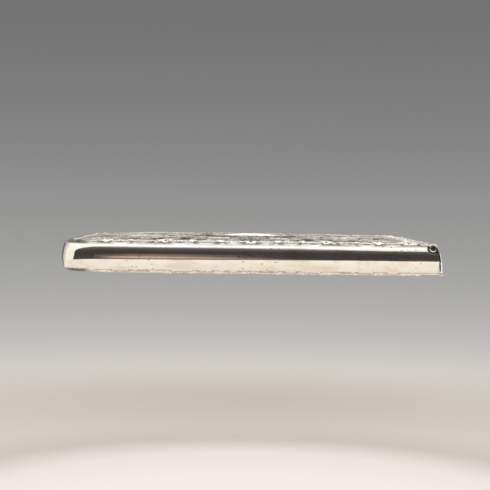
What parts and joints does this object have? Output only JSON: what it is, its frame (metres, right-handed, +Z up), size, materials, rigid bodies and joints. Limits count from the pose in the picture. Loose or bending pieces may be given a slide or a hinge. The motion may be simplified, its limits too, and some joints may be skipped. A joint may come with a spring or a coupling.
{
  "type": "card case",
  "caption": "Slim silver case for visiting cards: two struck half shells with foliate relief, rounded closed end, and a hinged lid over the other end.",
  "frame": {"origin": "under the middle of the case's box, on the surface that it lies on", "axes": "+X along the length towards the hinged lid, +Y across the width, +Z up through the thickness, from the back face to the front face"},
  "size_m": [0.1002, 0.074, 0.0107],
  "materials": {
    "struck_silver": "polished, with struck relief darkened in its recesses",
    "polished_silver": "polished, lightly scratched",
    "inner_silver": "satin, as left inside the mouth"
  },
  "bodies": {
    "case": {"front_shell": "struck_silver", "back_shell": "struck_silver", "mouth_bezel": "inner_silver", "hinge_bearer": "inner_silver", "body_knuckle_1": "polished_silver", "body_knuckle_2": "polished_silver", "body_knuckle_3": "polished_silver", "hinge_pin": "polished_silver"},
    "lid": {"lid_knuckle_1": "polished_silver", "lid_knuckle_2": "polished_silver", "lid_knuckle_3": "polished_silver", "lid_knuckle_4": "polished_silver", "lid_plate": "polished_silver", "lid_flange": "inner_silver", "thumb_lip": "polished_silver"}
  },
  "joints": [
    {"name": "lid_hinge", "type": "hinge", "parent": "case", "child": "lid", "pos_m": [0.04727, 0, 0.0084], "axis": [0, -1, 0], "range_deg": [0, 110]}
  ]
}
